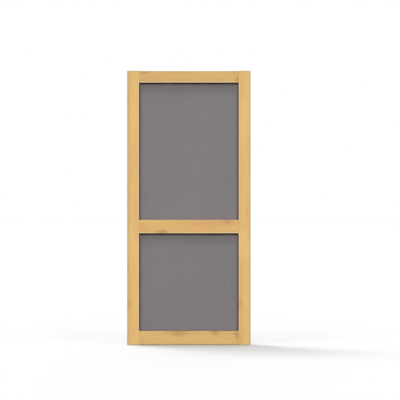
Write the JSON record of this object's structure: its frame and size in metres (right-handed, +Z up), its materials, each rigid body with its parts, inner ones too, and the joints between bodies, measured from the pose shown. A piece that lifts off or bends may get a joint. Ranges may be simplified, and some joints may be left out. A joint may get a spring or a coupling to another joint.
{
  "type": "wooden screen door leaf",
  "caption": "Plain pine screen door leaf: stiles and rails joined by mortise and tenon round an upper and a lower grey insect screen, each held by mitred beads at the back.",
  "frame": {"origin": "bottom end of the hinge edge, at the middle of the leaf's thickness, on the hinge edge's flat face", "axes": "+X across the leaf from the hinge edge to the latch edge, +Y through its thickness from the front to the back, +Z up"},
  "size_m": [0.9144, 0.0286, 2.032],
  "materials": {
    "stile_pine": "satin",
    "rail_pine": "satin",
    "bead_pine": "satin",
    "screen_cloth": "matte"
  },
  "bodies": {
    "root": {"left_stile": "stile_pine", "right_stile": "stile_pine", "top_rail": "rail_pine", "lock_rail": "rail_pine", "bottom_rail": "rail_pine", "upper_screen": "screen_cloth", "lower_screen": "screen_cloth", "upper_bead_bottom": "bead_pine", "upper_bead_left": "bead_pine", "upper_bead_top": "bead_pine", "upper_bead_right": "bead_pine", "lower_bead_bottom": "bead_pine", "lower_bead_left": "bead_pine", "lower_bead_top": "bead_pine", "lower_bead_right": "bead_pine"}
  },
  "joints": []
}
